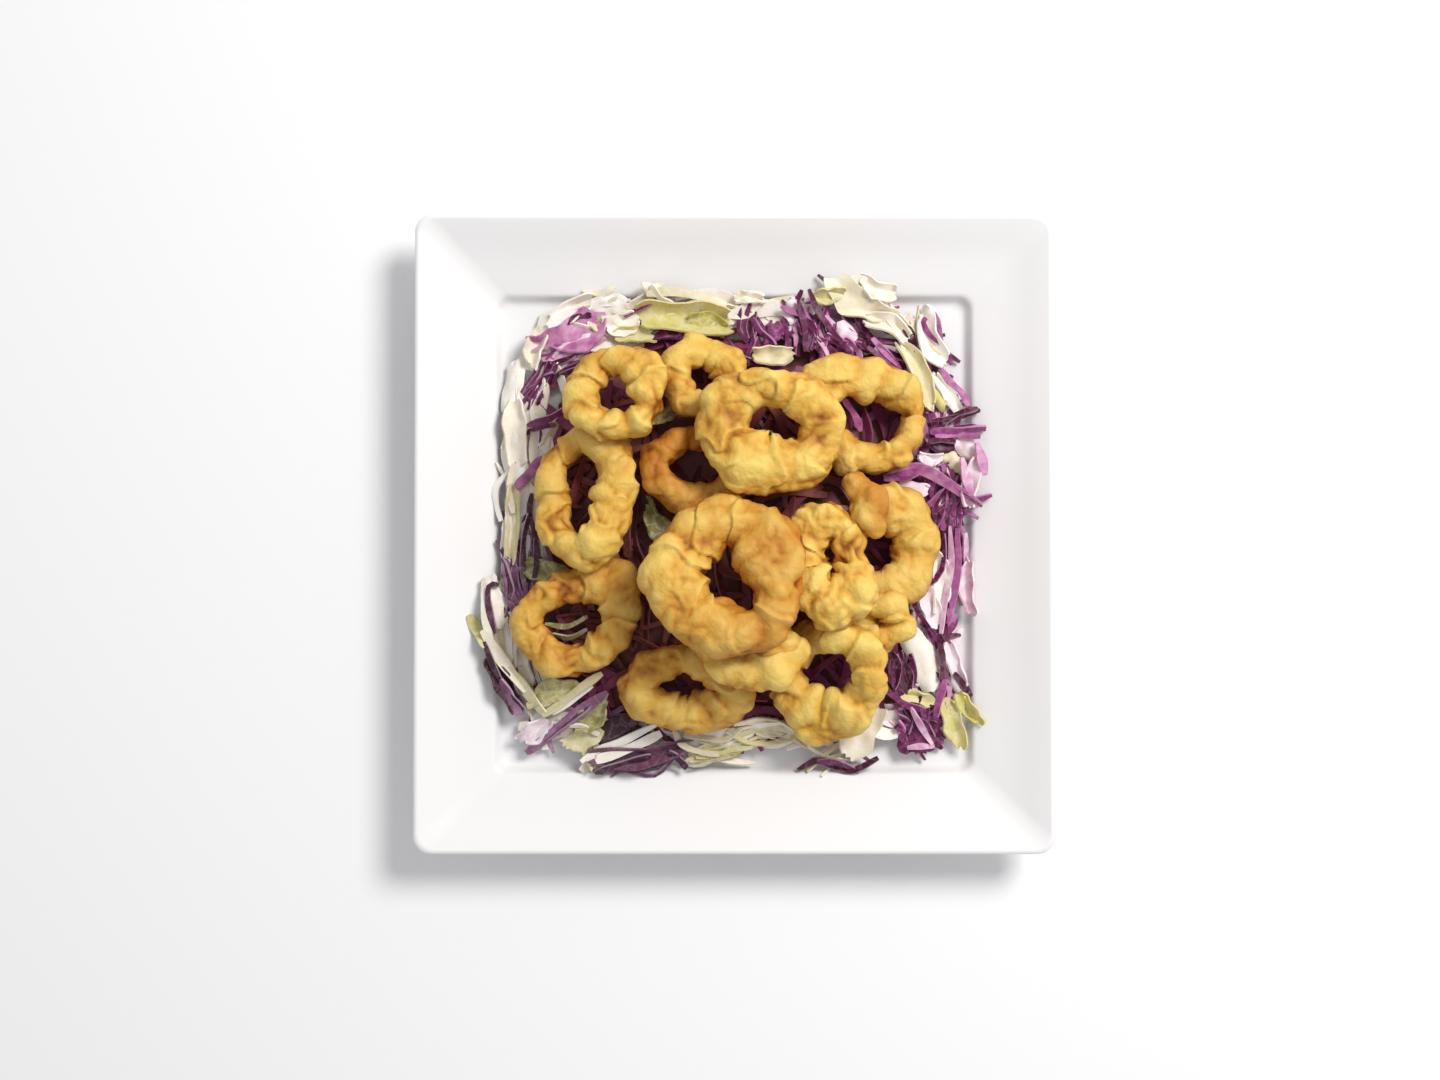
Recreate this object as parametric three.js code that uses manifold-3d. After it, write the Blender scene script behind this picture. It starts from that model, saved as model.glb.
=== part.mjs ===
import * as THREE from 'three';
import { mergeVertices } from 'three/addons/utils/BufferGeometryUtils.js';
import Module from 'manifold-3d';

/*
 * Fried calamari on shredded cabbage, served on a square porcelain plate.
 *
 * Millimetres, +Z up. The origin is the middle of the plate's foot, on the table.
 * The plate, the cabbage and every piece of calamari are solids of their own. The pieces are
 * laid down one after another, and each one settles on what lies below it.
 */

const wasm = await Module();
wasm.setup();

const TURN = 2 * Math.PI;
const REST_GAP = 0.3; // air left between a piece and what it rests on

// ---------------------------------------------------------------- plate

const PLATE_HALF = 127; // half of the outer width: a ten inch plate
const LIP_TOP = 25; // height of the rim's lip above the table
const LIP_THICK = 4.2;
const WELL_HALF = 93.5; // half of the width of the sunk well
const WELL_FLOOR = 8; // height of the well above the table
const WELL_STEP = 4.6; // height of the steep step from the well up to the rim
const RIM_INNER = WELL_HALF + 2.4; // half width where the rim starts, on top of the step
const FOOT_RECESS = 3; // height of the underside inside the foot ring
const FOOT_INNER = 74;
const FOOT_OUTER = 81;
const CORNER_LIP = 7; // rounding of the lip's corners, seen from above
const CORNER_WELL = 5; // the same for everything inside the rim
const CORNER_STEPS = 5;
const PER_SIDE = CORNER_STEPS + 2; // points on each quarter of a loop

// Corners of the plate's section: half width, height, and how far back each corner is eased off.
const UNDERSIDE = [
  [0, FOOT_RECESS, 0],
  [FOOT_INNER - 5, FOOT_RECESS, 1],
  [FOOT_INNER, 0, 0.8],
  [FOOT_OUTER, 0, 0.8],
  [FOOT_OUTER + 3, 4.2, 2],
  [WELL_HALF + 3, 6.8, 5],
  [PLATE_HALF - 2.2, LIP_TOP - LIP_THICK, 1],
  [PLATE_HALF, LIP_TOP - 1, 0.7],
];
const UPPER_FACE = [
  [PLATE_HALF - 0.8, LIP_TOP, 0.5],
  [PLATE_HALF - 2.4, LIP_TOP, 0.7],
  [PLATE_HALF - 16, 17.6, 10],
  [RIM_INNER, WELL_FLOOR + WELL_STEP, 1.2],
  [WELL_HALF, WELL_FLOOR, 2.4],
  [0, WELL_FLOOR, 0],
];

// Points of a section with its corners eased off, each by one narrow face.
function easedSection(corners) {
  const path = new THREE.Path();
  corners.forEach(([half, height, reach], i) => {
    if (reach === 0) {
      if (i === 0) path.moveTo(half, height);
      else path.lineTo(half, height);
      return;
    }
    const [start, end] = [corners[i - 1], corners[i + 1]].map(([x, y]) =>
      new THREE.Vector2(x - half, y - height).setLength(reach).add({ x: half, y: height }),
    );
    path.lineTo(start.x, start.y);
    path.lineTo(end.x, end.y);
  });
  return path.getPoints();
}

// A point on a square with round corners, numbered anticlockwise from the middle of its +X side.
function squarePoint(half, corner, number) {
  const along = number % PER_SIDE;
  const point = new THREE.Vector2(half, 0);
  if (along > 0) {
    const bearing = ((along - 1) / CORNER_STEPS) * (TURN / 4);
    const middle = half - corner;
    point.set(middle + corner * Math.cos(bearing), middle + corner * Math.sin(bearing));
  }
  const side = Math.floor(number / PER_SIDE) % 4;
  return point.rotateAround(new THREE.Vector2(), (side * TURN) / 4);
}

// A solid whose every level is such a square: a lathe form with each of its loops squared.
function squareGeometry(section) {
  const segments = 4 * PER_SIDE;
  const geometry = new THREE.LatheGeometry(section, segments);
  const { position, uv } = geometry.attributes;
  for (let i = 0; i < position.count; i++) {
    const half = Math.hypot(position.getX(i), position.getZ(i));
    const outwards = THREE.MathUtils.smoothstep(half, WELL_HALF, PLATE_HALF);
    const corner = Math.min(half, THREE.MathUtils.lerp(CORNER_WELL, CORNER_LIP, outwards));
    const point = squarePoint(half, corner, Math.round(uv.getX(i) * segments));
    position.setXYZ(i, point.x, point.y, position.getY(i));
  }
  return geometry;
}

function plateGeometry() {
  return squareGeometry(easedSection([...UNDERSIDE, ...UPPER_FACE]));
}

// Everything below the plate's upper face: what the cabbage is cut away from.
function groundGeometry() {
  const below = [[0, -LIP_TOP, 0], [PLATE_HALF, -LIP_TOP, 1]];
  return squareGeometry(easedSection([...below, ...UPPER_FACE]));
}

// ---------------------------------------------------------------- cabbage bed

const BED_CROWN = 17; // height of the heap above the well, in its middle
const BED_EDGE = 3.5; // height of its ragged edge above what it lies on
const BED_FALL = 3.2; // how late the heap falls away towards its edge
const BED_BROAD_LUMPS = 1.5;
const BED_NARROW_LUMPS = 1.1;
const BED_RAGGED = 0.02; // how far the edge wavers, as a share of its reach
// How far the heap reaches from the plate's middle, at equal bearings anticlockwise from +X.
const BED_REACH = [
  95, 104, 109, 119, 117, 104, 99, 105, 110, 117, 107, 96,
  95, 105, 113, 118, 110, 98, 92, 97, 109, 119, 108, 92,
];
const BED_AROUND = 48;
const BED_ROWS = 12;

// A closed curve through points at equal bearings, at the given distances from the middle.
function edgeCurve(reach) {
  const points = reach.map((distance, i) => {
    const bearing = (i / reach.length) * TURN;
    return new THREE.Vector3(distance * Math.cos(bearing), distance * Math.sin(bearing), 0);
  });
  return new THREE.CatmullRomCurve3(points, true);
}

// Height of the plate's upper face on a square of this half width, with the rim taken as straight.
function plateTop(half) {
  if (half < WELL_HALF) return WELL_FLOOR;
  const slope = (LIP_TOP - WELL_FLOOR - WELL_STEP) / (PLATE_HALF - RIM_INNER);
  return WELL_FLOOR + WELL_STEP + slope * (half - RIM_INNER);
}

function bedLumps(x, y) {
  const broad = Math.sin(x / 11 + 1.3) * Math.cos(y / 13 - 0.4);
  const narrow = Math.sin(x / 6.1 - y / 8.3) * Math.cos(y / 5.7 + x / 15);
  return BED_BROAD_LUMPS * broad + BED_NARROW_LUMPS * narrow;
}

// A sphere drawn out into a heap: its upper half is the top, its lower half reaches into the plate.
function bedGeometry() {
  const outline = edgeCurve(BED_REACH);
  const geometry = new THREE.SphereGeometry(1, BED_AROUND, BED_ROWS).rotateX(TURN / 4);
  const position = geometry.attributes.position;
  for (let i = 0; i < position.count; i++) {
    const share = Math.min(1, Math.hypot(position.getX(i), position.getY(i)));
    const bearing = Math.atan2(position.getY(i), position.getX(i));
    const ragged = 1 + BED_RAGGED * Math.sin(bearing * 12) * Math.sin(bearing * 5 + 1);
    const { x, y } = outline.getPoint((bearing / TURN + 1) % 1).multiplyScalar(share * ragged);
    const ground = plateTop(Math.max(Math.abs(x), Math.abs(y)));
    const heap = WELL_FLOOR + BED_CROWN * (1 - share ** BED_FALL) + bedLumps(x, y) * share;
    const upper = Math.max(heap, ground + BED_EDGE);
    const side = Math.abs(position.getZ(i)) < 0.01 ? 0 : Math.sign(position.getZ(i));
    const height = { 1: upper, 0: ground + BED_EDGE / 2, [-1]: WELL_FLOOR / 2 }[side];
    position.setXYZ(i, x, y, height);
  }
  return geometry;
}

// ---------------------------------------------------------------- calamari

const RING_STATIONS = 32;
const RING_SIDES = 8;
const BULGE = 0.13; // how far the batter's bulges stand out, as a share of the thickness
const SAG = 1.3; // how far a ring's line waves up and down

/*
 * Each ring, in the order they are laid down: where its middle lies on the plate, how tall its band
 * stands, its first lean about X and Y in degrees, and how far its outer edge and its hole's edge
 * are from its middle at equal bearings, anticlockwise from +X.
 */
const RINGS = [
  {
    name: 'ring_inner', at: [-13.5, 27], tall: 13, lean: [-8, 0],
    outer: [22, 17, 14.5, 18, 23, 22.5, 20.5, 21],
    hole: [12, 9, 6, 8.5, 11.5, 10, 8, 10],
  },
  {
    name: 'ring_back_small', at: [-12, 60], tall: 12, lean: [0, 0],
    outer: [18, 19, 17, 20, 19.5, 17, 16, 17],
    hole: [5.5, 4, 6, 6.5, 4, 6, 6, 6],
  },
  {
    name: 'ring_back_right', at: [50.5, 45], tall: 13, lean: [0, 0],
    outer: [25, 26, 24.5, 31, 25, 23, 23, 24],
    hole: [16.5, 11, 7, 10, 11, 9, 9.5, 13.5],
  },
  {
    name: 'ring_right', at: [58, -5], tall: 14, lean: [0, -8],
    outer: [23, 25, 22.5, 19, 19, 21, 24, 23.5],
    hole: [4, 4, 5, 7, 9, 10, 12, 7],
  },
  {
    name: 'ring_right_small', at: [56, -35], tall: 9, lean: [0, 0],
    outer: [13, 12.5, 11, 11, 12, 13, 12, 12],
    hole: [2, 2, 2, 2, 2, 2, 2, 2],
  },
  {
    name: 'ring_front_right', at: [37, -56], tall: 13, lean: [0, 0],
    outer: [22.5, 25.5, 25, 23, 23, 25.5, 30, 23],
    hole: [12, 11.5, 11, 10.5, 11, 7.5, 5.5, 8],
  },
  {
    name: 'ring_front_middle', at: [-18, -61], tall: 14, lean: [10, 0],
    outer: [28, 21, 17, 21, 29, 21, 18, 22.5],
    hole: [12, 6.5, 5.5, 7.5, 12.5, 4.5, 3, 3.5],
  },
  {
    name: 'ring_front_left', at: [-63, -35], tall: 12, lean: [0, 0],
    outer: [25.5, 33, 21, 20, 24, 24, 22, 21],
    hole: [11, 11, 7, 9, 12.5, 9, 9.5, 8.5],
  },
  {
    name: 'ring_under_crown', at: [4, -44], tall: 10, lean: [0, 0],
    outer: [24.5, 17, 11, 15.5, 20.5, 17.5, 18, 22.5],
    hole: [7, 3.5, 2.5, 3.5, 6, 3, 2, 3.5],
  },
  {
    name: 'ring_left', at: [-58, 14.5], tall: 14, lean: [0, 0],
    outer: [19, 28, 27, 24, 21, 25, 31, 25],
    hole: [3.5, 8, 19.5, 14, 8, 10.5, 17, 4.5],
  },
  {
    name: 'ring_knobbly', at: [37, -11.5], tall: 14, lean: [0, 0],
    outer: [14, 17, 24, 22, 16, 21, 27, 24],
    hole: [2, 2, 6.5, 3, 2, 2.5, 7, 2.5],
  },
  {
    name: 'ring_back_middle', at: [13.5, 40], tall: 15, lean: [0, 0],
    outer: [28.5, 27, 22, 28, 28, 27, 26.5, 29],
    hole: [12, 7.5, 8, 9.5, 6.5, 3, 2.5, 5.5],
  },
  {
    name: 'ring_back_left', at: [-45.5, 53.5], tall: 13, lean: [0, 0],
    outer: [20, 22.5, 18, 20.5, 20.5, 20, 17.5, 19],
    hole: [5.5, 4.5, 8.5, 7.5, 6.5, 8.5, 7.5, 7.5],
  },
  {
    name: 'ring_crown', at: [-2.5, -17], tall: 17, lean: [0, 0],
    outer: [30, 31, 31.5, 33, 31.5, 31, 33.5, 33.5, 30.5, 32, 31.5, 29.5],
    hole: [3, 3, 5, 12, 8.5, 7.5, 9, 9.5, 9.5, 11, 16, 12],
  },
];

// Swelling of the batter at a place round the ring and round its band, about 1.
function bulge(round, side, phase) {
  const a = TURN * round;
  const b = TURN * side;
  const lobes = Math.sin(5 * a + 1.4 * Math.sin(b + phase) + 2.1 * phase);
  const knobs = Math.sin(8 * a - b + 3.7 * phase);
  const dents = Math.sin(3 * a + 2 * b + 5.3 * phase);
  return 1 + BULGE * (0.7 * lobes + 0.55 * knobs + 0.4 * dents);
}

// A lumpy band that runs between an outer edge and a hole's edge, lying flat about its own middle.
function ringGeometry(ring, phase) {
  const outerEdge = edgeCurve(ring.outer);
  const holeEdge = edgeCurve(ring.hole);
  const geometry = new THREE.TorusGeometry(1, 0.5, RING_SIDES, RING_STATIONS);
  const { position, uv } = geometry.attributes;
  for (let i = 0; i < position.count; i++) {
    const round = uv.getX(i) % 1;
    const side = uv.getY(i) % 1;
    const outer = outerEdge.getPoint(round);
    const hole = holeEdge.getPoint(round);
    const across = outer.clone().sub(hole).divideScalar(2);
    const swell = bulge(round, side, phase);
    const point = hole.add(across).addScaledVector(across, swell * Math.cos(TURN * side));
    point.z = (ring.tall / 2) * swell * Math.sin(TURN * side);
    point.z += SAG * Math.sin(2 * TURN * round + phase);
    position.setXYZ(i, point.x, point.y, point.z);
  }
  return geometry;
}

// A short knobbly strip, such as a cut end: its turn on the plate in degrees, and its size.
const STRIP = {
  name: 'strip_right', at: [49.5, 9.5], tall: 11, lean: [0, 0],
  turn: -62, long: 27, wide: 11.5,
};
const STRIP_KNOBS = 0.16; // how far its knobs stand out, as a share of its thickness
const STRIP_NUBS = 0.06; // the same for the smaller ones between them
const STRIP_BLUNT = 0.16; // how blunt its ends are: 0 leaves them as round as a ball's
const STRIP_BEND = 2.2; // how far its middle stands aside from its ends

function stripGeometry(strip) {
  const geometry = new THREE.SphereGeometry(0.5, 12, 10).rotateZ(TURN / 4);
  const position = geometry.attributes.position;
  for (let i = 0; i < position.count; i++) {
    const along = position.getX(i) * 2;
    const fall = Math.max(1 - along * along, 1e-6);
    const knob = 1 + STRIP_KNOBS * Math.sin(along * 5.5 + 0.6) + STRIP_NUBS * Math.sin(along * 12);
    const plump = knob * fall ** -STRIP_BLUNT;
    position.setXYZ(
      i,
      (along * strip.long) / 2,
      position.getY(i) * strip.wide * plump + STRIP_BEND * fall,
      position.getZ(i) * strip.tall * plump,
    );
  }
  return geometry.rotateZ(THREE.MathUtils.degToRad(strip.turn));
}

// ---------------------------------------------------------------- laying the pieces down

const RELIEF_HALF = 130;
const RELIEF_PITCH = 1;
const RELIEF_COUNT = (2 * RELIEF_HALF) / RELIEF_PITCH + 1;
const TILT_STEPS = [5, 2, 0.7]; // degrees
const MOST_TILT = 17;
const LIFT_STEP = 0.15;

// The highest surface so far over each cell of a grid on the table.
const relief = new Float32Array(RELIEF_COUNT * RELIEF_COUNT);

function cell(value) {
  return THREE.MathUtils.clamp(Math.round((value + RELIEF_HALF) / RELIEF_PITCH), 0, RELIEF_COUNT - 1);
}

function triangles(geometry) {
  const flat = geometry.index ? geometry.toNonIndexed() : geometry;
  const { position } = flat.attributes;
  return Array.from({ length: position.count / 3 }, (_, i) =>
    new THREE.Triangle().setFromAttributeAndIndices(position, 3 * i, 3 * i + 1, 3 * i + 2),
  );
}

function raiseRelief(geometry) {
  const weights = new THREE.Vector3();
  const spot = new THREE.Vector3();
  for (const { a, b, c } of triangles(geometry)) {
    const flat = [a, b, c].map((p) => new THREE.Vector3(p.x, p.y, 0));
    const columns = flat.map((p) => cell(p.x));
    const rows = flat.map((p) => cell(p.y));
    for (let row = Math.min(...rows); row <= Math.max(...rows); row++) {
      for (let column = Math.min(...columns); column <= Math.max(...columns); column++) {
        spot.set(column * RELIEF_PITCH - RELIEF_HALF, row * RELIEF_PITCH - RELIEF_HALF, 0);
        if (!THREE.Triangle.getBarycoord(spot, ...flat, weights)) continue;
        if (Math.min(weights.x, weights.y, weights.z) < 0) continue;
        const height = a.z * weights.x + b.z * weights.y + c.z * weights.z;
        const at = row * RELIEF_COUNT + column;
        relief[at] = Math.max(relief[at], height);
      }
    }
  }
}

// Corners and face middles of a piece: where it is tested against what lies below.
function feelers(geometry) {
  return triangles(geometry).flatMap(({ a, b, c }) => [
    a,
    new THREE.Vector3().add(a).add(b).add(c).divideScalar(3),
  ]);
}

function tilted(points, tilt) {
  const turn = new THREE.Euler(...tilt.map(THREE.MathUtils.degToRad), 0);
  return points.map((point) => point.clone().applyEuler(turn));
}

// How high a piece's own middle has to be, at this tilt, for it just to touch what lies below.
function restHeight(points, at, tilt) {
  let height = 0;
  for (const point of tilted(points, tilt)) {
    const ground = relief[cell(at[1] + point.y) * RELIEF_COUNT + cell(at[0] + point.x)];
    height = Math.max(height, ground - point.z);
  }
  return height;
}

// A piece rocks in small steps for as long as that lets its middle sink.
function settledTilt(points, at, lean) {
  let tilt = lean;
  let height = restHeight(points, at, tilt);
  for (const step of TILT_STEPS) {
    for (let sinking = true; sinking; ) {
      sinking = false;
      for (const [x, y] of [[1, 0], [-1, 0], [0, 1], [0, -1], [1, 1], [-1, -1], [1, -1], [-1, 1]]) {
        const tried = [tilt[0] + x * step, tilt[1] + y * step];
        if (Math.max(...tried.map(Math.abs)) > MOST_TILT) continue;
        const triedHeight = restHeight(points, at, tried);
        if (triedHeight < height - 0.02) {
          tilt = tried;
          height = triedHeight;
          sinking = true;
        }
      }
    }
  }
  return { tilt, height };
}

function solidOf(geometry) {
  const bare = new THREE.BufferGeometry().setAttribute('position', geometry.attributes.position.clone());
  if (geometry.index) bare.setIndex(geometry.index.clone());
  const merged = mergeVertices(bare, 1e-3);
  return new wasm.Manifold(
    new wasm.Mesh({
      numProp: 3,
      vertProperties: merged.attributes.position.array,
      triVerts: new Uint32Array(merged.index.array),
    }),
  );
}

function geometryOf(solid) {
  const mesh = solid.getMesh();
  const geometry = new THREE.BufferGeometry();
  geometry.setAttribute('position', new THREE.BufferAttribute(new Float32Array(mesh.vertProperties), 3));
  geometry.setIndex(new THREE.BufferAttribute(new Uint32Array(mesh.triVerts), 1));
  geometry.computeVertexNormals();
  return geometry;
}

let laid; // everything laid down so far, as one solid

// The geometry of a mesh as it lies on the plate.
function placedGeometry(mesh) {
  mesh.updateMatrixWorld(true);
  return mesh.geometry.clone().applyMatrix4(mesh.matrixWorld);
}

function layDown(mesh) {
  const placed = placedGeometry(mesh);
  raiseRelief(placed);
  const solid = solidOf(placed);
  laid = laid ? laid.add(solid) : solid;
  return mesh;
}

// Rests a piece on what is already there, with a thin gap of air under it.
function dropOnto(mesh, at, lean) {
  const { tilt, height } = settledTilt(feelers(mesh.geometry), at, lean);
  mesh.rotation.set(...tilt.map(THREE.MathUtils.degToRad), 0);
  mesh.position.set(at[0], at[1], height);
  while (laid.intersect(solidOf(placedGeometry(mesh))).volume() > 0) mesh.position.z += LIFT_STEP;
  mesh.position.z += REST_GAP;
  return layDown(mesh);
}

// ---------------------------------------------------------------- the dish

const PORCELAIN = { color: 0xf4f3f1, roughness: 0.16, metalness: 0 };
const CABBAGE = { color: 0x7a4a6e, roughness: 0.6, metalness: 0 };
const BATTER = { color: 0xdca24b, roughness: 0.62, metalness: 0 };

function piece(name, geometry, finish) {
  const mesh = new THREE.Mesh(geometry, new THREE.MeshStandardMaterial(finish));
  mesh.name = name;
  return mesh;
}

const dish = new THREE.Group();
dish.add(layDown(piece('plate', plateGeometry(), PORCELAIN)));

const ground = solidOf(groundGeometry().translate(0, 0, REST_GAP));
const bed = geometryOf(solidOf(bedGeometry()).subtract(ground));
dish.add(layDown(piece('cabbage_bed', bed, CABBAGE)));

RINGS.forEach((ring, i) => {
  dish.add(dropOnto(piece(ring.name, ringGeometry(ring, i + 1), BATTER), ring.at, ring.lean));
  if (ring.name === 'ring_left') {
    dish.add(dropOnto(piece(STRIP.name, stripGeometry(STRIP), BATTER), STRIP.at, STRIP.lean));
  }
});

export default dish;
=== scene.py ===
"""A square plate of fried calamari on shredded cabbage, dressed over its fixed frame, in metres."""

import math
import random

import bmesh
import bpy
from mathutils import Matrix, Vector, geometry, noise
from mathutils.bvhtree import BVHTree


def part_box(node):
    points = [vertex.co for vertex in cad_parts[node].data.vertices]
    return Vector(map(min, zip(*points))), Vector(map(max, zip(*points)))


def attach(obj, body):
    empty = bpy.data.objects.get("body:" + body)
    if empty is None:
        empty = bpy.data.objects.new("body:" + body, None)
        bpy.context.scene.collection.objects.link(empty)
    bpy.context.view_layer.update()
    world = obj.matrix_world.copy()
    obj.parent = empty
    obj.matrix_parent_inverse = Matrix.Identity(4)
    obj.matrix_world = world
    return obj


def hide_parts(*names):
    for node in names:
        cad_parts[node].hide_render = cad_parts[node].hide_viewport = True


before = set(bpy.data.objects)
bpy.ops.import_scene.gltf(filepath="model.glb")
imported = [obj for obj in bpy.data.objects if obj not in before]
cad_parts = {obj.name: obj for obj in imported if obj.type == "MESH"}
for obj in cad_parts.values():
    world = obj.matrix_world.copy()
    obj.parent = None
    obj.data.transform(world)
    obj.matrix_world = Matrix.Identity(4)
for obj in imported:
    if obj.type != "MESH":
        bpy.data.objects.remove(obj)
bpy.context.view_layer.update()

# ---------------------------------------------------------------- table
# The plate stands on a plain white table. It is matt and much wider than the view, so that the
# plate's soft shadow is all that shows on it.

TABLE_WIDTH = 6.0
TABLE_WHITE = (0.92, 0.92, 0.925, 1)

table_mesh = bpy.data.meshes.new("table")
slab = bmesh.new()
bmesh.ops.create_grid(slab, x_segments=1, y_segments=1, size=TABLE_WIDTH / 2)
bmesh.ops.translate(slab, verts=slab.verts, vec=(0, 0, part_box("plate")[0].z))
slab.to_mesh(table_mesh)
slab.free()
table = bpy.data.objects.new("table", table_mesh)
bpy.context.scene.collection.objects.link(table)

table_paint = bpy.data.materials.new("table_paint")
table_paint.use_nodes = True
table_shader = table_paint.node_tree.nodes["Principled BSDF"]
table_shader.inputs["Base Color"].default_value = TABLE_WHITE
table_shader.inputs["Roughness"].default_value = 0.9
table_shader.inputs["Specular IOR Level"].default_value = 0.1
table_mesh.materials.append(table_paint)

# ---------------------------------------------------------------- camera and light
# The camera looks down from arm's length, almost straight. A large soft key light stands over the
# plate's far right corner, and white walls all round fill the shadows.

CAMERA_AIM = Vector((-0.0056, -0.0028, 0.0250))
CAMERA_DISTANCE = 0.775
CAMERA_LEAN = math.radians(1.3)
CAMERA_LENS = 49.0
KEY_BEARING = math.radians(42)
KEY_ELEVATION = math.radians(49.5)
KEY_DISTANCE = 1.5
KEY_SIZE = 0.55
KEY_POWER = 18.4
ROOM_LIGHT = 0.54

camera_data = bpy.data.cameras.new("camera")
camera_data.lens = CAMERA_LENS
camera_data.sensor_width = 36
camera = bpy.data.objects.new("camera", camera_data)
camera_rise = Vector((0, -math.sin(CAMERA_LEAN), math.cos(CAMERA_LEAN)))
camera.location = CAMERA_AIM + camera_rise * CAMERA_DISTANCE
camera.rotation_euler = (CAMERA_LEAN, 0, 0)
bpy.context.scene.collection.objects.link(camera)
bpy.context.scene.camera = camera

key_data = bpy.data.lights.new("key", "AREA")
key_data.shape = "DISK"
key_data.size = KEY_SIZE
key_data.energy = KEY_POWER
key_data.color = (1.0, 0.985, 0.96)
key = bpy.data.objects.new("key", key_data)
key_direction = Vector((
    math.cos(KEY_BEARING) * math.cos(KEY_ELEVATION),
    math.sin(KEY_BEARING) * math.cos(KEY_ELEVATION),
    math.sin(KEY_ELEVATION),
))
key.location = key_direction * KEY_DISTANCE
key.rotation_euler = key_direction.to_track_quat("Z", "Y").to_euler()
bpy.context.scene.collection.objects.link(key)

room = bpy.data.worlds.new("room")
room.use_nodes = True
room.node_tree.nodes["Background"].inputs["Color"].default_value = (0.97, 0.975, 1.0, 1)
room.node_tree.nodes["Background"].inputs["Strength"].default_value = ROOM_LIGHT
bpy.context.scene.world = room
bpy.context.scene.view_settings.view_transform = "Standard"

# ---------------------------------------------------------------- plate
# Square porcelain plate, pressed in a mould and glazed all over. A steep step divides its sunk
# well from the sloping rim, and a square foot ring keeps it off the table.

# Rounding the lip off draws it in a little, so the plate starts this much wider.
LIP_EASE = 0.0004
PLATE_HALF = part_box("plate")[1].x + LIP_EASE
LIP_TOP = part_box("plate")[1].z
LIP_THICK = 0.0042
WELL_HALF = 0.0935
WELL_FLOOR = 0.008
WELL_STEP = 0.0046
CORNER_LIP = 0.007
CORNER_WELL = 0.005
CORNER_STEPS = 8
PLATE_AROUND = 4 * (CORNER_STEPS + 2)
PLATE_CREASE = math.radians(35)
# A corner of the section is rounded off in so many steps, over no more than this share of its arms.
EASE_STEPS = 4
EASE_REACH = 0.45
# Corners of the plate's section: half width, height, and the radius that rounds the corner off.
PLATE_SECTION = [
    (0.0600, 0.0030, 0.0010),
    (0.0690, 0.0030, 0.0010),
    (0.0740, 0.0000, 0.0008),
    (0.0810, 0.0000, 0.0008),
    (0.0840, 0.0042, 0.0020),
    (WELL_HALF + 0.0030, 0.0068, 0.0060),
    (PLATE_HALF - 0.0022, LIP_TOP - LIP_THICK, 0.0010),
    (PLATE_HALF, LIP_TOP - 0.0010, 0.0008),
    (PLATE_HALF - 0.0016, LIP_TOP, 0.0010),
    (PLATE_HALF - 0.0160, 0.0176, 0.0200),
    (WELL_HALF + 0.0024, WELL_FLOOR + WELL_STEP, 0.0014),
    (WELL_HALF, WELL_FLOOR, 0.0026),
    (0.0600, WELL_FLOOR, 0.0010),
]


def eased_corner(before, corner, after):
    """Points that turn one corner of a section as a short soft arc."""
    here = Vector(corner[:2])
    arms = [Vector(end[:2]) - here for end in (before, after)]
    reach = min(corner[2], EASE_REACH * arms[0].length, EASE_REACH * arms[1].length)
    first, last = (here + arm.normalized() * reach for arm in arms)
    for step in range(EASE_STEPS + 1):
        share = step / EASE_STEPS
        yield first.lerp(here, share).lerp(here.lerp(last, share), share)


def square_point(half, corner, number):
    """A point on a square with round corners, numbered anticlockwise from the middle of its +X side."""
    side, along = divmod(number, CORNER_STEPS + 2)
    point = Vector((half, 0))
    if along:
        bearing = (along - 1) / CORNER_STEPS * math.pi / 2
        middle = half - corner
        point = Vector((middle + corner * math.cos(bearing), middle + corner * math.sin(bearing)))
    return Matrix.Rotation(side * math.pi / 2, 2) @ point


section = [Vector(PLATE_SECTION[0][:2])]
for before, corner, after in zip(PLATE_SECTION, PLATE_SECTION[1:], PLATE_SECTION[2:]):
    section.extend(eased_corner(before, corner, after))
section.append(Vector(PLATE_SECTION[-1][:2]))
porcelain = bmesh.new()
rail = [porcelain.verts.new((point.x, 0, point.y)) for point in section]
rail += [porcelain.edges.new(pair) for pair in zip(rail, rail[1:])]
bmesh.ops.spin(
    porcelain, geom=rail, cent=(0, 0, 0), axis=(0, 0, 1), angle=math.tau, steps=PLATE_AROUND,
    use_merge=True,
)
for vert in porcelain.verts:
    half = vert.co.xy.length
    outwards = max(0.0, (half - WELL_HALF) / (PLATE_HALF - WELL_HALF))
    corner = CORNER_WELL + (CORNER_LIP - CORNER_WELL) * outwards
    number = round(math.atan2(vert.co.y, vert.co.x) / math.tau * PLATE_AROUND) % PLATE_AROUND
    vert.co.xy = square_point(half, corner, number)
bmesh.ops.holes_fill(porcelain, edges=porcelain.edges, sides=PLATE_AROUND)
bmesh.ops.recalc_face_normals(porcelain, faces=porcelain.faces)
plate_mesh = bpy.data.meshes.new("porcelain_plate")
porcelain.to_mesh(plate_mesh)
porcelain.free()
plate_mesh.shade_smooth()
plate_mesh.set_sharp_from_angle(angle=PLATE_CREASE)
plate = bpy.data.objects.new("porcelain_plate", plate_mesh)
bpy.context.scene.collection.objects.link(plate)

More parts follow.
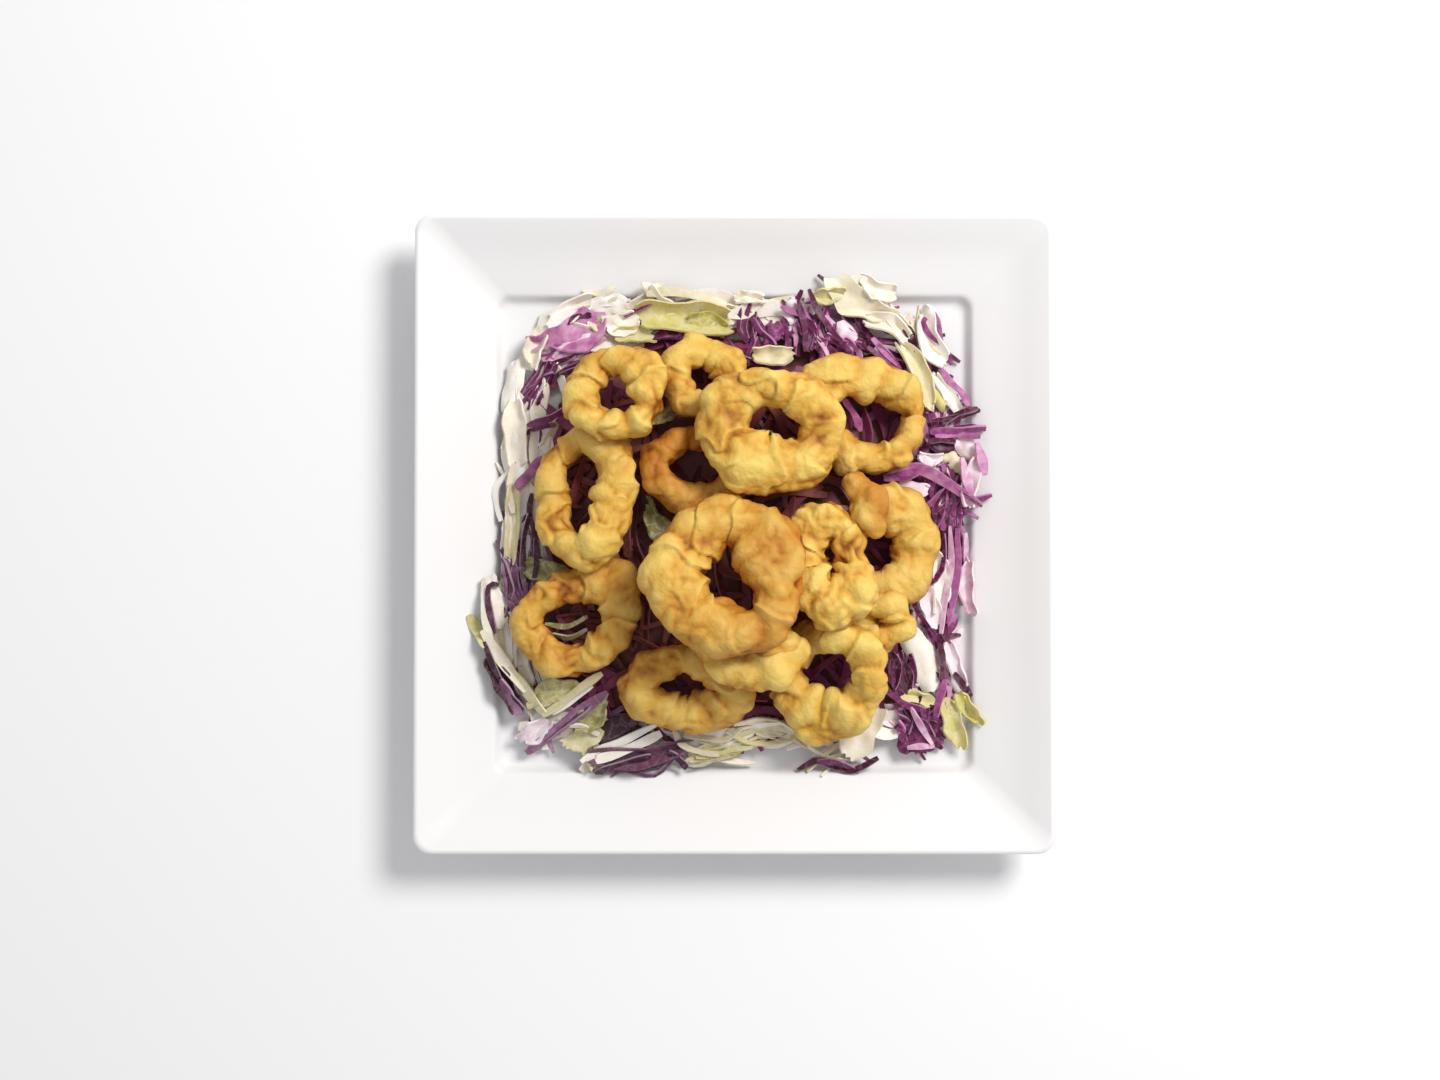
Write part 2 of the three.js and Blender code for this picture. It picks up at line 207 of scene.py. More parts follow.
glaze = bpy.data.materials.new("white_glaze")
glaze.use_nodes = True
glaze_tree = glaze.node_tree
glaze_shader = glaze_tree.nodes["Principled BSDF"]
glaze_shader.inputs["Base Color"].default_value = (0.87, 0.865, 0.865, 1)
glaze_shader.inputs["Roughness"].default_value = 0.16
glaze_shader.inputs["IOR"].default_value = 1.5
glaze_place = glaze_tree.nodes.new("ShaderNodeTexCoord")
glaze_waves = glaze_tree.nodes.new("ShaderNodeTexNoise")
glaze_waves.inputs["Scale"].default_value = 45
glaze_waves.inputs["Detail"].default_value = 2
glaze_bump = glaze_tree.nodes.new("ShaderNodeBump")
glaze_bump.inputs["Strength"].default_value = 0.06
glaze_bump.inputs["Distance"].default_value = 0.001
glaze_tree.links.new(glaze_place.outputs["Object"], glaze_waves.inputs["Vector"])
glaze_tree.links.new(glaze_waves.outputs["Fac"], glaze_bump.inputs["Height"])
glaze_tree.links.new(glaze_bump.outputs["Normal"], glaze_shader.inputs["Normal"])
plate_mesh.materials.append(glaze)

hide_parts("plate")
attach(plate, "root")

# ---------------------------------------------------------------- heart of the cabbage heap
# Under the loose shreds the heap is packed. It is a smaller lump inside the heap's outline,
# coloured dark brown and maroon: partly the cabbage's own dark purple, partly painted shade.
# The shreds above hide it, except as darkness between them.

# Points closer than this are one and the same.
SEAM_GAP = 1e-6
# The heart's width and height as shares of the heap's, and its clearance over the plate.
HEART_SHARE = 0.80
HEART_HEIGHT = 0.62
HEART_LIFT = 0.0004
HEART_GRAIN = 0.0015
# Its top is ruffled wherever the surface faces up by more than a slope.
RUFFLE_SIZE = 0.0035
RUFFLE_HEIGHT = 0.0007
RUFFLE_SLOPE = 0.1

heap = bmesh.new()
heap.from_mesh(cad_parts["cabbage_bed"].data)
bmesh.ops.remove_doubles(heap, verts=heap.verts, dist=SEAM_GAP)
heart = heap.copy()
heap_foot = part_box("cabbage_bed")[0].z
for vert in heart.verts:
    height = heap_foot + HEART_LIFT + (vert.co.z - heap_foot) * HEART_HEIGHT
    vert.co = (vert.co.x * HEART_SHARE, vert.co.y * HEART_SHARE, height)
heart_mesh = bpy.data.meshes.new("cabbage_heart")
heart.to_mesh(heart_mesh)
heart.free()
cabbage_heart = bpy.data.objects.new("cabbage_heart", heart_mesh)
bpy.context.scene.collection.objects.link(cabbage_heart)
heart_even = cabbage_heart.modifiers.new("even", "REMESH")
heart_even.mode = "VOXEL"
heart_even.voxel_size = HEART_GRAIN
evaluated_heart = cabbage_heart.evaluated_get(bpy.context.evaluated_depsgraph_get())
ruffled_mesh = bpy.data.meshes.new_from_object(evaluated_heart)
cabbage_heart.modifiers.clear()
cabbage_heart.data = ruffled_mesh
bpy.data.meshes.remove(heart_mesh)
ruffles = [
    vert.normal * RUFFLE_HEIGHT * noise.noise(vert.co / RUFFLE_SIZE) for vert in ruffled_mesh.vertices
]
for vert, ruffle in zip(ruffled_mesh.vertices, ruffles):
    if vert.normal.z > RUFFLE_SLOPE:
        vert.co += ruffle
ruffled_mesh.name = "cabbage_heart"
ruffled_mesh.shade_smooth()

heart_finish = bpy.data.materials.new("packed_cabbage_painted_shade")
heart_finish.use_nodes = True
heart_tree = heart_finish.node_tree
heart_shader = heart_tree.nodes["Principled BSDF"]
heart_shader.inputs["Roughness"].default_value = 0.55
heart_place = heart_tree.nodes.new("ShaderNodeTexCoord")
heart_patches = heart_tree.nodes.new("ShaderNodeTexNoise")
heart_patches.inputs["Scale"].default_value = 130
# Painted shade: the heart's colours are the dark warm brown seen between the shreds.
heart_colours = heart_tree.nodes.new("ShaderNodeValToRGB")
heart_colours.color_ramp.elements[0].position = 0.38
heart_colours.color_ramp.elements[0].color = (0.140, 0.034, 0.024, 1)
heart_colours.color_ramp.elements[1].position = 0.70
heart_colours.color_ramp.elements[1].color = (0.235, 0.062, 0.048, 1)
heart_tree.links.new(heart_place.outputs["Object"], heart_patches.inputs["Vector"])
heart_tree.links.new(heart_patches.outputs["Fac"], heart_colours.inputs["Fac"])
heart_tree.links.new(heart_colours.outputs["Color"], heart_shader.inputs["Base Color"])
ruffled_mesh.materials.append(heart_finish)

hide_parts("cabbage_bed")
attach(cabbage_heart, "root")

# ---------------------------------------------------------------- calamari
# Squid rings dipped in batter and fried. The batter puffs into lobes and into flaps that lap over
# one another round the band: pale gold on the crests and browner in the creases, partly its own tone
# and partly painted highlight and painted shade, and darker down the sides as painted shade.

# The skin under the batter: how bent and how skewed two triangles may be and still be joined, how
# often it is rounded, how fine its mesh is, how that is softened, and how far the batter stands off.
JOIN_BEND = 1.2
JOIN_SKEW = 2.0
SKIN_ROUNDING = 2
SKIN_GRAIN = 0.00062
SKIN_SOFTNESS = 0.5
SKIN_SOFTENINGS = 6
SKIN_PLUMP = 0.0008
# Swellings and lobes of the batter. Lobes are drawn out round the band and across it, and warped.
SWELL_SIZE = 0.0135
SWELL_HEIGHT = 0.0014
LOBE_STRETCH = 1.35
LOBE_SIZE = 0.0125
LOBE_HEIGHT = 0.0038
LOBE_SOFTNESS = 0.055
WARP_SIZE = 0.009
WARP_REACH = 0.0022
# The warp starts from this, so that the batter comes out the same every time.
WARP_SEED = 6
# Flaps rise slowly round the band and drop off at an edge, which wanders and in places is missing.
FLAP_LENGTH = 0.015
FLAP_HEIGHT = 0.0019
FLAP_EDGE = 0.10
FLAP_START = 0.37
FEWEST_FLAPS = 3
FLAP_WANDER = 0.8
FLAP_WANDER_SIZE = 0.011
FLAP_COVER = 0.55
FLAP_CONTRAST = 2.2
FLAP_COVER_SIZE = 0.014
# Small bumps, knobs and pimples. Only some pieces are knobbly.
BUMP_SIZE = 0.0048
BUMP_SOFTNESS = 0.05
BUMP_HEIGHT = 0.0009
KNOB_SIZE = 0.0058
KNOB_SOFTNESS = 0.07
KNOB_HEIGHT = 0.0030
PIMPLE_SIZE = 0.0017
PIMPLE_HEIGHT = 0.00018
KNOBBLINESS = {"ring_knobbly": 0.9, "strip_right": 0.7, "ring_right": 0.3}
PLAIN_KNOBBLINESS = 0.12
# The mean of rounded noise, which is taken off it, and the steps from one piece's noise to the next.
PUFF_MEAN = 0.12
NOISE_STRIDES = (3.7, 1.9, 2.3)
# How much each form adds to how high a point counts, from 0 in the creases to 1 on the crests.
# The colour drawn from it is partly the batter's own tone, partly painted shade in the creases
# and painted highlight on the crests.
CREST_LEVEL = 0.50
CREST_SWELL = 0.40
CREST_LOBE = 1.25
CREST_KNOB = 1.1
CREST_BUMP = 0.65
CREST_FLAP = 0.40
CREST_PIMPLE = 0.10
# Patches are fried darker; flanks that turn away from above by more than a share get painted shade.
BROWN_PATCH = 0.16
BROWN_PATCH_SIZE = 0.018
FLANK_SHADE = 1.9
FLANK_START = 0.16
# How much darker than the rest a piece is coloured: partly how long it was fried, partly painted shade
# where it lies under other pieces.
BROWNING_AND_SHADE = {
    "ring_crown": 0.37,
    "ring_inner": 0.85,
    "ring_front_middle": 0.30,
    "ring_front_left": 0.32,
    "strip_right": 0.55,
    "ring_right": 0.22,
    "ring_back_right": 0.12,
    "ring_under_crown": 0.0,
    "ring_front_right": -0.12,
    "ring_back_middle": -0.08,
    "ring_back_small": 0.04,
}
# The way towards which a piece is coloured darker still, and away from which it is paler: painted shade
# on the side that neighbouring pieces shade, partly uneven frying.
BROWN_AND_SHADE_SIDES = {
    "ring_crown": (0.20, -0.02),
    "ring_inner": (0.0, 0.25),
    "ring_left": (-0.20, 0.28),
    "ring_front_left": (0.0, 0.12),
    "ring_back_left": (-0.12, 0.05),
    "ring_front_middle": (0.10, 0.12),
    "ring_front_right": (-0.15, 0.15),
    "strip_right": (0.40, 0.28),
}

batter = bpy.data.materials.new("golden_batter")
batter.use_nodes = True
batter_tree = batter.node_tree
batter_shader = batter_tree.nodes["Principled BSDF"]
batter_shader.inputs["Roughness"].default_value = 0.56
batter_shader.inputs["Specular IOR Level"].default_value = 0.28
batter_shader.inputs["Subsurface Weight"].default_value = 0.10
batter_shader.inputs["Subsurface Radius"].default_value = (1.0, 0.5, 0.2)
batter_shader.inputs["Subsurface Scale"].default_value = 0.0015
crest = batter_tree.nodes.new("ShaderNodeAttribute")
crest.attribute_name = "crest"
browned_and_shaded = batter_tree.nodes.new("ShaderNodeAttribute")
browned_and_shaded.attribute_name = "browned_and_shaded"
crest_colours = batter_tree.nodes.new("ShaderNodeValToRGB")
# The crest colours: dark in the creases as painted shade, pale gold on the crests as painted highlight,
# partly the batter's own tone.
ramp = crest_colours.color_ramp
ramp.elements[0].position = 0.0
ramp.elements[0].color = (0.27, 0.088, 0.009, 1)
ramp.elements[1].position = 1.0
ramp.elements[1].color = (0.79, 0.570, 0.142, 1)
for position, colour in ((0.20, (0.52, 0.238, 0.030, 1)), (0.45, (0.70, 0.405, 0.064, 1))):
    ramp.elements.new(position).color = colour
# Darkens the colour towards brown, by frying and by painted shade.
brown_mix = batter_tree.nodes.new("ShaderNodeMix")
brown_mix.data_type = "RGBA"
brown_mix.blend_type = "MULTIPLY"
brown_mix.inputs["B"].default_value = (0.68, 0.40, 0.20, 1)
batter_place = batter_tree.nodes.new("ShaderNodeTexCoord")
grain = batter_tree.nodes.new("ShaderNodeTexNoise")
grain.inputs["Scale"].default_value = 650
grain.inputs["Detail"].default_value = 5
batter_bump = batter_tree.nodes.new("ShaderNodeBump")
batter_bump.inputs["Strength"].default_value = 0.8
batter_bump.inputs["Distance"].default_value = 0.0006
links = batter_tree.links
links.new(crest.outputs["Fac"], crest_colours.inputs["Fac"])
links.new(crest_colours.outputs["Color"], brown_mix.inputs["A"])
links.new(browned_and_shaded.outputs["Fac"], brown_mix.inputs["Factor"])
links.new(brown_mix.outputs["Result"], batter_shader.inputs["Base Color"])
links.new(batter_place.outputs["Object"], grain.inputs["Vector"])
links.new(grain.outputs["Fac"], batter_bump.inputs["Height"])
links.new(batter_bump.outputs["Normal"], batter_shader.inputs["Normal"])


def smooth_skin(node):
    """The node's own shape, rounded off and cut into an even fine mesh."""
    skin = bmesh.new()
    skin.from_mesh(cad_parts[node].data)
    bmesh.ops.remove_doubles(skin, verts=skin.verts, dist=SEAM_GAP)
    bmesh.ops.join_triangles(
        skin, faces=skin.faces, angle_face_threshold=JOIN_BEND, angle_shape_threshold=JOIN_SKEW
    )
    mesh = bpy.data.meshes.new("battered_" + node)
    skin.to_mesh(mesh)
    skin.free()
    piece = bpy.data.objects.new("battered_" + node, mesh)
    bpy.context.scene.collection.objects.link(piece)
    rounding = piece.modifiers.new("rounding", "SUBSURF")
    rounding.levels = rounding.render_levels = SKIN_ROUNDING
    even = piece.modifiers.new("even", "REMESH")
    even.mode = "VOXEL"
    even.voxel_size = SKIN_GRAIN
    soft = piece.modifiers.new("soft", "SMOOTH")
    soft.factor = SKIN_SOFTNESS
    soft.iterations = SKIN_SOFTENINGS
    evaluated = piece.evaluated_get(bpy.context.evaluated_depsgraph_get())
    finished = bpy.data.meshes.new_from_object(evaluated)
    piece.modifiers.clear()
    piece.data = finished
    bpy.data.meshes.remove(mesh)
    return piece


def puff(value, softness):
    """Turns noise into rounded lobes that meet in soft valleys; its mean is about nought."""
    return math.sqrt(value * value + softness * softness) - softness - PUFF_MEAN


def puff_batter(piece, seed, knobbliness, piece_browning_and_shade, brown_and_shade_side):
    """Raises lobes, flaps and knobs on a piece; notes how high each point is, and how dark it is
    coloured by frying and by painted shade.
    """
    mesh = piece.data
    middle = sum((v.co for v in mesh.vertices), Vector()) / len(mesh.vertices)
    reach = sum((v.co.xy - middle.xy).length for v in mesh.vertices) / len(mesh.vertices)
    away = Vector([seed * stride for stride in NOISE_STRIDES])
    flaps = max(FEWEST_FLAPS, round(math.tau * reach / FLAP_LENGTH))
    crest_notes = mesh.attributes.new("crest", "FLOAT", "POINT")
    brown_and_shade_notes = mesh.attributes.new("browned_and_shaded", "FLOAT", "POINT")
    raised = []
    for vert in mesh.vertices:
        arm = vert.co - middle
        place = (arm.xy.normalized() * (reach + (arm.xy.length - reach) / LOBE_STRETCH)).to_3d()
        place.z = arm.z / LOBE_STRETCH
        place += noise.noise_vector(vert.co / WARP_SIZE + away) * WARP_REACH
        swell = noise.noise(vert.co / SWELL_SIZE + away * 2)
        lobe = puff(noise.noise(place / LOBE_SIZE + away), LOBE_SOFTNESS)
        round_band = math.atan2(arm.y, arm.x) / math.tau * flaps + seed * FLAP_START
        run = (round_band + FLAP_WANDER * noise.noise(vert.co / FLAP_WANDER_SIZE + away * 4)) % 1.0
        flap = min(run / (1 - FLAP_EDGE), (1 - run) / FLAP_EDGE) - 0.5
        cover = FLAP_COVER + FLAP_CONTRAST * noise.noise(vert.co / FLAP_COVER_SIZE - away * 3)
        flap *= min(1.0, max(0.0, cover))
        bump = puff(noise.noise(vert.co / BUMP_SIZE - away), BUMP_SOFTNESS)
        knob = knobbliness * puff(noise.noise(vert.co / KNOB_SIZE + away * 3), KNOB_SOFTNESS)
        pimple = noise.noise(vert.co / PIMPLE_SIZE + away)
        height = SKIN_PLUMP + SWELL_HEIGHT * swell + LOBE_HEIGHT * lobe + FLAP_HEIGHT * flap
        height += BUMP_HEIGHT * bump + KNOB_HEIGHT * knob + PIMPLE_HEIGHT * pimple
        raised.append(vert.co + vert.normal * height)
        level = (
            CREST_LEVEL + CREST_SWELL * swell + CREST_LOBE * lobe + CREST_KNOB * knob
            + CREST_BUMP * bump + CREST_FLAP * flap + CREST_PIMPLE * pimple
        )
        crest_notes.data[vert.index].value = min(1.0, max(0.0, level))
        patch = noise.noise(vert.co / BROWN_PATCH_SIZE + away * 2.5)
        # Painted shade on flanks that turn away from above.
        flank = 0.5 * (1 - vert.normal.z)
        # The piece's own darkening and its darker side are partly frying and partly painted shade.
        brown_and_shade = piece_browning_and_shade + brown_and_shade_side.dot(arm.xy.normalized())
        brown_and_shade += BROWN_PATCH * patch + FLANK_SHADE * max(0.0, flank - FLANK_START)
        brown_and_shade_notes.data[vert.index].value = min(1.0, max(0.0, brown_and_shade))
    for vert, point in zip(mesh.vertices, raised):
        vert.co = point


noise.seed_set(WARP_SEED)
calamari = sorted(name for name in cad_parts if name.startswith(("ring_", "strip_")))
for seed, name in enumerate(calamari):
    fried = smooth_skin(name)
    knobbliness = KNOBBLINESS.get(name, PLAIN_KNOBBLINESS)
    brown_and_shade_side = Vector(BROWN_AND_SHADE_SIDES.get(name, (0, 0)))
    puff_batter(fried, seed + 1, knobbliness, BROWNING_AND_SHADE.get(name, 0), brown_and_shade_side)
    fried.data.shade_smooth()
    fried.data.materials.append(batter)
    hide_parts(name)
    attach(fried, "root")

# ---------------------------------------------------------------- purple cabbage shreds
# Thin strips of purple cabbage, dark skinned with lilac cut edges. Some lie singly along the rim
# of the heap, others in tangled clumps, and a layer of them fills the heap below, coloured dark
# brown and maroon as painted shade.

MM = 0.001
# Cabbage keeps these gaps to the plate and to the squid over it, in mm.
PLATE_GAP = 0.5
SQUID_GAP = 1.0
# Heights are felt for downwards from here, in metres.
SKY = 0.2
# A way is a curve with so many points between two corners, and its heights are evened out.
WAY_POINTS = 12
WAY_EVENINGS = 3
# A wandering way has corners at these shares of its length, and strays sideways by shares of it.
WAY_SHARES = (-0.5, -0.2, 0.15, 0.5)
WAY_BEND = 0.16
WAY_WOBBLE = 0.03
# One strand: its cuts along, thickness in mm, change of tint from end to end, how far it is rolled
# and twisted, how high its ends curl, how hollow it is, and how its ends and edges narrow.
STRAND_CUTS = 9
STRAND_THICK = (0.7, 1.2)
STRAND_DRIFT = 0.15
STRAND_ROLL = 0.7
STRAND_TWIST = 1.0
STRAND_CURL = 1.0
STRAND_BOW = 0.35
END_TAPER = 0.45
END_SHARPNESS = 5
EDGE_WAVER = 0.14
EDGE_WAVES = 9
# Strands in clumps: widths, lifts and shares of the clump's length, how closely they keep to its
# heading, how much darker tints are favoured, and how near they lie to the top of the heap.
CLUMP_WIDTHS = (1.0, 2.4)
CLUMP_LIFTS = (0.2, 1.8)
CLUMP_LENGTHS = (0.7, 1.25)
CLUMP_SPREAD = 0.6
CLUMP_DARKNESS = 1.3
CLUMP_DEPTH = 0.95
# Single strands lie on top of the rest.
SINGLE_LIFT = 3.6
SINGLE_WOBBLE = 0.6
# Scattered strands start on the heap, short of its edge. Those of the rim lie in its outer part and
# run along it. A way that would stick out over the edge is drawn in step by step.
FILL_LENGTHS = (16, 40)
RIM_INSET = 1.08
RIM_REACH = 1.28
RIM_SPREAD = 0.32
RIM_KEEP = 0.97
DRAW_IN = 0.9
# Single shreds: tint from dark to pale, width, and the corners of the way each one takes, in mm.
PURPLE_STRANDS = [
    (0.70, 4.5, [(60, 22.5), (73, 25.5), (86, 19), (97.5, 11)]),
    (0.15, 1.6, [(74.5, 26.2), (84, 21.5), (98.5, 10.5)]),
    (0.05, 2.4, [(79, 45.2), (87, 46), (98.5, 49.5)]),
    (0.05, 2.4, [(83, 44), (90, 47.8), (97.5, 50)]),
    (0.50, 3.5, [(78, 40.3), (89, 40.5), (100.5, 42)]),
    (0.25, 2.0, [(88, 42.5), (100.8, 41.5)]),
    (0.65, 2.4, [(80, 38.5), (98, 38.5)]),
    (0.75, 4.0, [(96.2, 36), (98.5, 29), (99.8, 23)]),
    (0.80, 4.0, [(90.5, 30), (92.5, 22), (94.5, 15)]),
    (0.62, 2.8, [(89, 2), (89.5, -12), (88, -25), (85.5, -36)]),
    (0.85, 3.0, [(92.5, 0), (93.5, -14), (91.8, -29)]),
    (0.20, 2.2, [(83.5, 0), (83.8, -10), (81.2, -17.5), (73, -23), (72.2, -29.5), (80, -40.5)]),
    (0.88, 2.4, [(86, 3), (86.8, -12), (84.5, -26), (82.6, -40)]),
    (0.05, 2.4, [(81.5, -42), (83, -50), (82.2, -58)]),
    (0.55, 3.0, [(84, -58), (81.5, -66), (80, -73)]),
    (0.02, 2.6, [(87.5, -55.7), (91.8, -61), (95.5, -65.2)]),
    (0.45, 2.0, [(83.2, 76), (82.3, 83.2), (81.1, 88), (75.8, 85.5), (78.4, 79.6), (83.5, 75.2)]),
    (0.45, 2.0, [(83, 77), (86.1, 71.2), (87.2, 67.5)]),
    (0.70, 2.5, [(82.3, 66.3), (86.5, 61), (91.5, 56), (93.5, 50.7)]),
    (0.08, 3.0, [(25.6, -94.5), (33, -90.5), (39.5, -92.5), (47, -95), (57.5, -89.5)]),
    (0.20, 2.5, [(33, -91), (42, -91.5), (50, -95.5)]),
    (0.45, 4.5, [(-83, -87.5), (-74, -80.5), (-62, -71.5), (-50, -63)]),
    (0.20, 2.0, [(-83, -88.3), (-70, -78.5), (-56, -68)]),
    (-0.05, 2.6, [(-99, -43), (-95.5, -53), (-90.5, -62.5), (-83.5, -70)]),
    (0.50, 4.0, [(-93, -58), (-89, -66), (-85.5, -72.5)]),
    (0.12, 2.4, [(-93.5, -20.5), (-97, -20.5), (-97.8, -25), (-96.5, -33), (-94.5, -39.8)]),
    (0.12, 2.0, [(-92.5, -9.5), (-90.5, -15), (-88.5, -22), (-89.5, -26)]),
    (0.05, 2.2, [(-80.5, 16), (-81.5, 8), (-79.5, 0), (-80, -7.6)]),
    (0.08, 2.2, [(-81.5, 8), (-83.8, -1), (-84.2, -12), (-83.5, -22)]),
    (0.05, 2.2, [(-79, -2), (-78.5, -12), (-81, -26)]),
    (0.50, 4.0, [(-87, 18), (-82, 23.5), (-76, 30)]),
    (0.30, 3.0, [(-82.5, 43), (-74, 45.5), (-65.6, 50)]),
    (0.20, 2.2, [(-81, 40.8), (-71, 43)]),
    (0.05, 2.6, [(-67.5, 83.6), (-62.5, 86.8), (-57, 87.4)]),
    (0.03, 3.0, [(-55.5, -95.5), (-45, -92), (-33, -88.5)]),
    (0.05, 3.0, [(-26, -86.5), (-18.5, -93.5)]),
    (0.15, 2.2, [(29.8, 97.3), (34, 88), (41.5, 77.5), (46.5, 71.5)]),
    (0.15, 2.4, [(25.5, 93), (28, 83), (28.5, 72)]),
    (0.50, 2.4, [(18.5, 90.5), (28.6, 86.6)]),
    (0.60, 3.0, [(55, 77.6), (60, 72), (65, 66.7)]),
    (0.50, 2.4, [(57, 75), (62, 70), (67, 63)]),
    (0.30, 2.4, [(53, 74), (59, 69), (63, 64)]),
    (0.45, 5.0, [(59, 22), (66, 22.8), (73, 24)]),
    (0.10, 2.6, [(77.6, 36.5), (83.5, 37.5), (88.5, 36.5)]),
    (0.85, 2.4, [(70, -69), (74.5, -77), (79, -84)]),
    (0.85, 2.4, [(69, -85.5), (80, -85)]),
    (0.35, 2.5, [(60, -62), (68, -68), (76, -70)]),
    (0.30, 1.6, [(-43.8, 86.5), (-40, 88.5), (-31.7, 92)]),
    (0.60, 2.5, [(43, 53), (48, 46), (50, 40)]),
]
# Clumps: middle and radius, heading and its spread in degrees, length, how many, range of tints.
PURPLE_CLUMPS = [
    (81, -36, 5, 60, 60, 13, 12, 0.10, 0.40),
    (-86, -20, 5, 100, 18, 26, 14, 0.15, 0.50),
    (-77.5, 60.5, 5, 60, 14, 19, 9, 0.10, 0.40),
    (-64.5, 78, 6, 27, 10, 22, 9, 0.45, 1.00),
    (-68, 67.5, 5, 30, 20, 12, 7, 0.00, 0.15),
    (-36, -89, 4, 10, 10, 30, 6, 0.05, 0.35),
    (-43, -79, 4, 20, 30, 14, 4, 0.00, 0.08),
    (6, 79, 8, 100, 40, 14, 10, 0.00, 0.40),
    (26, 81, 8, 100, 28, 15, 14, 0.05, 0.90),
    (36, 78, 7.5, 120, 30, 15, 18, 0.05, 0.95),
    (46, 76, 5, 125, 25, 15, 8, 0.05, 0.80),
    (86.5, 11.5, 7.5, 75, 28, 14, 30, 0.10, 0.60),
    (73.5, -78, 6.5, 60, 20, 13, 22, 0.00, 0.50),
    (73.5, -78, 6.5, 130, 25, 13, 26, 0.00, 0.75),
    # This clump takes only the darkest tints: the cabbage's own dark purple, deepened as painted shade
    # in the gap right of the front right ring.
    (66, -55, 5, 100, 20, 12, 12, 0.00, 0.20),
    (88, -6, 5, 85, 25, 18, 12, 0.30, 0.80),
]
# How many strands are scattered inside the heap, along its rim, along its right, and pale ones there.
DARK_FILL = 260
RIM_FILL = 70
RIGHT_FILL = 40
PINK_FILL = 50
# From left to right over the whole heap, in mm.
WHOLE_WIDTH = (-120, 120)
# Tint of the shreds deep in the heap, dark brown and maroon as painted shade between the squid: at
# its middle, its spread, and its gain per mm to the right and per mm outwards past a reach, where
# the shreds turn to the cabbage's own purple.
SHADE_START = 0.35
SHADE_SPREAD = 0.35
SHADE_SLOPE = 0.007
SHADE_REACH = 48
SHADE_GAIN = 0.026
# Edges of strands and leaves are creased where they turn by more than this.
CUT_CREASE = math.radians(50)
# How much the tint shifts from patch to patch, and from where to where along the heap's diagonal
# the colour goes from faded to full.
PATCH_SHARE = 0.5
FADE_START = -0.100
FADE_END = -0.020

plate_surface = BVHTree.FromObject(plate, bpy.context.evaluated_depsgraph_get())
heap_surface = BVHTree.FromBMesh(heap)
squid_solids = bmesh.new()
for name in calamari:
    squid_solids.from_mesh(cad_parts[name].data)
squid_surface = BVHTree.FromBMesh(squid_solids)
squid_solids.free()


def new_pile():
    """An empty mesh whose faces note their tint and whether they are cut edges."""
    pile = bmesh.new()
    pile.faces.layers.float.new("tint")
    pile.faces.layers.float.new("cut")
    return pile


def bed_height(place, depth, lift):
    """How high cabbage lies at a place: at depth 1 on top of the heap, at depth 0 on the plate.

    The lift is for what lies over other shreds, and counts only where there is a heap.
    """
    sky, down = Vector((place.x, place.y, SKY)), Vector((0, 0, -1))
    foot = plate_surface.ray_cast(sky, down)[0]
    foot = foot.z if foot else 0.0
    top = heap_surface.ray_cast(sky, down)[0]
    height = foot + PLATE_GAP * MM
    if top and top.z > foot:
        height += (top.z - foot) * depth + lift * MM
    roof = squid_surface.ray_cast(Vector((place.x, place.y, foot + MM)), -down)[0]
    if roof:
        height = min(height, max(foot + PLATE_GAP * MM, roof.z - SQUID_GAP * MM))
    return height


def soft_way(corners, count, depth, lift):
    """Evenly spaced points along a smooth curve through the corners, laid on the cabbage bed."""
    ends = [corners[0] * 2 - corners[1], *corners, corners[-1] * 2 - corners[-2]]
    fine = []
    for before, start, stop, after in zip(ends, ends[1:], ends[2:], ends[3:]):
        lead, lag = start + (stop - before) / 6, stop - (after - start) / 6
        fine += geometry.interpolate_bezier(start, lead, lag, stop, WAY_POINTS)
    runs = [0.0]
    for start, stop in zip(fine, fine[1:]):
        runs.append(runs[-1] + (stop - start).length)
    way, step = [], 0
    for number in range(count):
        target = runs[-1] * number / (count - 1)
        while step < len(runs) - 2 and runs[step + 1] < target:
            step += 1
        share = (target - runs[step]) / max(1e-9, runs[step + 1] - runs[step])
        way.append(fine[step].lerp(fine[step + 1], share).to_3d())
    heights = [bed_height(point, depth, lift) for point in way]
    for _ in range(WAY_EVENINGS):
        padded = [heights[0], *heights, heights[-1]]
        heights = [(a + 2 * b + c) / 4 for a, b, c in zip(padded, padded[1:], padded[2:])]
    for point, height in zip(way, heights):
        point.z = height
    return way


def wandering(middle, heading, length, chance):
    """Corners of a gently wandering way of a given length through a middle."""
    along = Vector((math.cos(heading), math.sin(heading)))
    aside = Vector((-along.y, along.x))
    bend = chance.uniform(-WAY_BEND, WAY_BEND)
    corners = []
    for share in WAY_SHARES:
        sideways = bend * (4 * share * share - 0.5) + chance.gauss(0, WAY_WOBBLE)
        corners.append(middle + length * (along * share + aside * sideways))
    return corners


